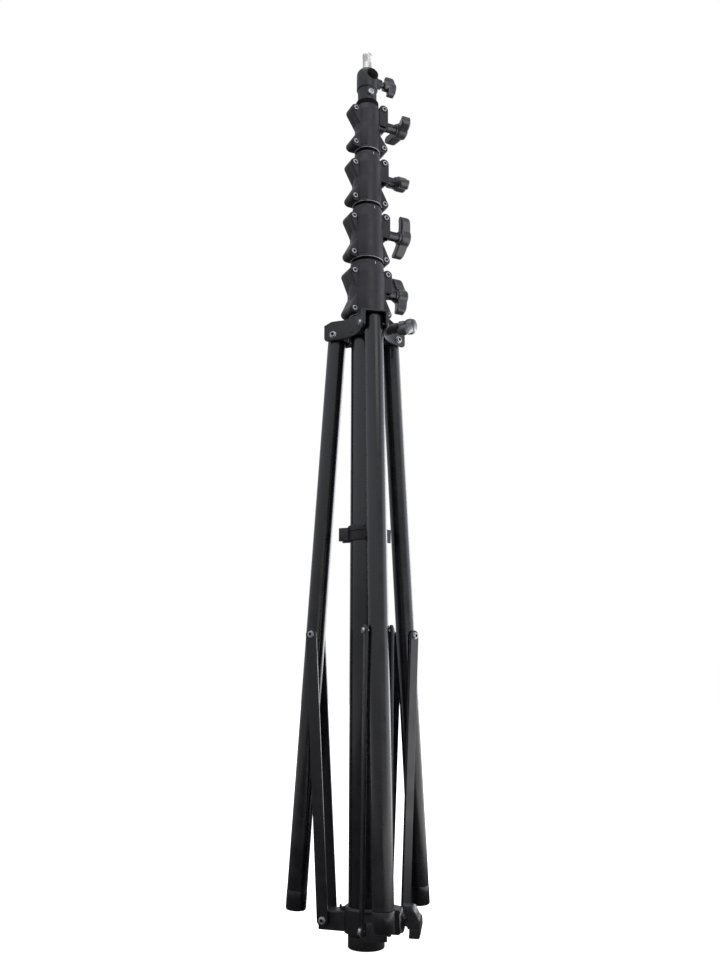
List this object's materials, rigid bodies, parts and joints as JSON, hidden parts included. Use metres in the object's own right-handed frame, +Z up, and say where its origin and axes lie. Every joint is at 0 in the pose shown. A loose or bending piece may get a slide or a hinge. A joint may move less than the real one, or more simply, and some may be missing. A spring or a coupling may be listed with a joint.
{
  "type": "telescopic light stand",
  "caption": "Tall telescopic lighting stand: nested clamped tubes over a folding braced tripod, with a spigot on top.",
  "frame": {"origin": "centre of the underside of the column's foot, with the stand folded and upright", "axes": "+Z up along the mast, -Y towards the side with the front leg, +X to that side's right"},
  "size_m": [0.2167, 0.2115, 1.465],
  "materials": {
    "black_tube": "gloss black coat",
    "black_bar": "satin black coat",
    "dark_casting": "moulded glass-filled nylon, satin",
    "spider_casting": "die-cast, painted black",
    "rubber": "matte",
    "zinc_steel": "bright zinc plate",
    "nickel_steel": "nickel plate, satin",
    "bush_plastic": "acetal, matte"
  },
  "bodies": {
    "column": {"outer_tube": "black_tube", "column_foot": "rubber", "clip_ring": "dark_casting", "collar_front_1": "dark_casting", "collar_rear_1": "dark_casting", "guide_bush_1": "bush_plastic", "lower_collar": "spider_casting"},
    "tube_1": {"inner_tube_1": "black_tube", "collar_front_2": "dark_casting", "collar_rear_2": "dark_casting", "guide_bush_2": "bush_plastic"},
    "tube_2": {"inner_tube_2": "black_tube", "collar_front_3": "dark_casting", "collar_rear_3": "dark_casting", "guide_bush_3": "bush_plastic"},
    "tube_3": {"inner_tube_3": "black_tube", "collar_front_4": "dark_casting", "collar_rear_4": "dark_casting", "guide_bush_4": "bush_plastic"},
    "tube_4": {"inner_tube_4": "black_tube", "spigot_socket": "spider_casting", "socket_screw": "zinc_steel"},
    "spigot": {"spigot": "nickel_steel"},
    "spider": {"spider": "spider_casting", "leg_bolt_1": "zinc_steel", "leg_bolt_2": "zinc_steel", "leg_bolt_3": "zinc_steel"},
    "leg_1": {"leg_1": "black_tube", "leg_foot_1": "rubber"},
    "brace_1": {"brace_1_left": "black_bar", "brace_1_right": "black_bar", "brace_1_foot_bolt": "zinc_steel", "brace_1_top_bolt": "zinc_steel"},
    "leg_2": {"leg_2": "black_tube", "leg_foot_2": "rubber"},
    "brace_2": {"brace_2_left": "black_bar", "brace_2_right": "black_bar", "brace_2_foot_bolt": "zinc_steel", "brace_2_top_bolt": "zinc_steel"},
    "leg_3": {"leg_3": "black_tube", "leg_foot_3": "rubber"},
    "brace_3": {"brace_3_left": "black_bar", "brace_3_right": "black_bar", "brace_3_foot_bolt": "zinc_steel", "brace_3_top_bolt": "zinc_steel"},
    "collar_knob_1": {"collar_knob_1": "dark_casting", "collar_stud_1": "zinc_steel"},
    "collar_knob_2": {"collar_knob_2": "dark_casting", "collar_stud_2": "zinc_steel"},
    "collar_knob_3": {"collar_knob_3": "dark_casting", "collar_stud_3": "zinc_steel"},
    "collar_knob_4": {"collar_knob_4": "dark_casting", "collar_stud_4": "zinc_steel"},
    "socket_knob": {"socket_knob": "dark_casting", "socket_stud": "zinc_steel"},
    "spider_knob": {"spider_knob": "dark_casting", "spider_stud": "zinc_steel"},
    "lower_knob": {"lower_knob": "dark_casting", "lower_stud": "zinc_steel"}
  },
  "joints": [
    {"name": "tube_1_slide", "type": "slide", "parent": "column", "child": "tube_1", "axis": [0, 0, 1], "range_m": [0, 0.8]},
    {"name": "tube_2_slide", "type": "slide", "parent": "tube_1", "child": "tube_2", "axis": [0, 0, 1], "range_m": [0, 0.85]},
    {"name": "tube_3_slide", "type": "slide", "parent": "tube_2", "child": "tube_3", "axis": [0, 0, 1], "range_m": [0, 0.9]},
    {"name": "tube_4_slide", "type": "slide", "parent": "tube_3", "child": "tube_4", "axis": [0, 0, 1], "range_m": [0, 0.95]},
    {"name": "spigot_slide", "type": "slide", "parent": "tube_4", "child": "spigot", "axis": [0, 0, 1], "range_m": [0, 0.033]},
    {"name": "collar_knob_1_turn", "type": "hinge", "parent": "column", "child": "collar_knob_1", "pos_m": [0, 0, 1.01], "axis": [0.8988, 0.4384, 0], "range_deg": [0, 540]},
    {"name": "collar_knob_2_turn", "type": "hinge", "parent": "tube_1", "child": "collar_knob_2", "pos_m": [0, 0, 1.12], "axis": [0.8988, 0.4384, 0], "range_deg": [0, 540]},
    {"name": "collar_knob_3_turn", "type": "hinge", "parent": "tube_2", "child": "collar_knob_3", "pos_m": [0, 0, 1.223], "axis": [0.8988, 0.4384, 0], "range_deg": [0, 540]},
    {"name": "collar_knob_4_turn", "type": "hinge", "parent": "tube_3", "child": "collar_knob_4", "pos_m": [0, 0, 1.328], "axis": [0.8988, 0.4384, 0], "range_deg": [0, 540]},
    {"name": "socket_knob_turn", "type": "hinge", "parent": "tube_4", "child": "socket_knob", "pos_m": [0, 0, 1.41], "axis": [0.8988, 0.4384, 0], "range_deg": [0, 540]},
    {"name": "spider_knob_turn", "type": "hinge", "parent": "spider", "child": "spider_knob", "pos_m": [0, 0, 0.936], "axis": [0.9511, -0.309, 0], "range_deg": [0, 540]},
    {"name": "lower_knob_turn", "type": "hinge", "parent": "column", "child": "lower_knob", "pos_m": [0, 0, 0.039], "axis": [0.9613, -0.2756, 0], "range_deg": [0, 540]},
    {"name": "base_fold", "type": "hinge", "parent": "column", "child": "brace_1", "pos_m": [0.01247, -0.05869, 0.0355], "axis": [0.9781, 0.2079, 0], "range_deg": [-1.35, 38.36]},
    {"name": "leg_1_hinge", "type": "hinge", "parent": "brace_1", "child": "leg_1", "pos_m": [0.01737, -0.08173, 0.44202], "axis": [0.9781, 0.2079, 0], "range_deg": [-69.67, 2.46]},
    {"name": "spider_hinge", "type": "hinge", "parent": "leg_1", "child": "spider", "pos_m": [0.01081, -0.05086, 0.93], "axis": [0.9781, 0.2079, 0], "range_deg": [-1.11, 31.31]},
    {"name": "leg_2_hinge", "type": "hinge", "parent": "spider", "child": "leg_2", "pos_m": [0.03864, 0.03479, 0.93], "axis": [0.6691, -0.7431, 0], "range_deg": [-1.11, 31.31]},
    {"name": "brace_2_hinge", "type": "hinge", "parent": "leg_2", "child": "brace_2", "pos_m": [0.06209, 0.05591, 0.44202], "axis": [-0.6691, 0.7431, 0], "range_deg": [-2.46, 69.67]},
    {"name": "leg_3_hinge", "type": "hinge", "parent": "spider", "child": "leg_3", "pos_m": [-0.04945, 0.01607, 0.93], "axis": [0.309, 0.9511, 0], "range_deg": [-1.11, 31.31]},
    {"name": "brace_3_hinge", "type": "hinge", "parent": "leg_3", "child": "brace_3", "pos_m": [-0.07947, 0.02582, 0.44202], "axis": [-0.309, -0.9511, 0], "range_deg": [-2.46, 69.67]}
  ],
  "couplings": [
    {"joint": "leg_1_hinge", "follows": "base_fold", "ratio": -1.816},
    {"joint": "spider_hinge", "follows": "base_fold", "ratio": 0.81599},
    {"joint": "leg_2_hinge", "follows": "base_fold", "ratio": 0.81599},
    {"joint": "brace_2_hinge", "follows": "base_fold", "ratio": 1.816},
    {"joint": "leg_3_hinge", "follows": "base_fold", "ratio": 0.81599},
    {"joint": "brace_3_hinge", "follows": "base_fold", "ratio": 1.816}
  ]
}
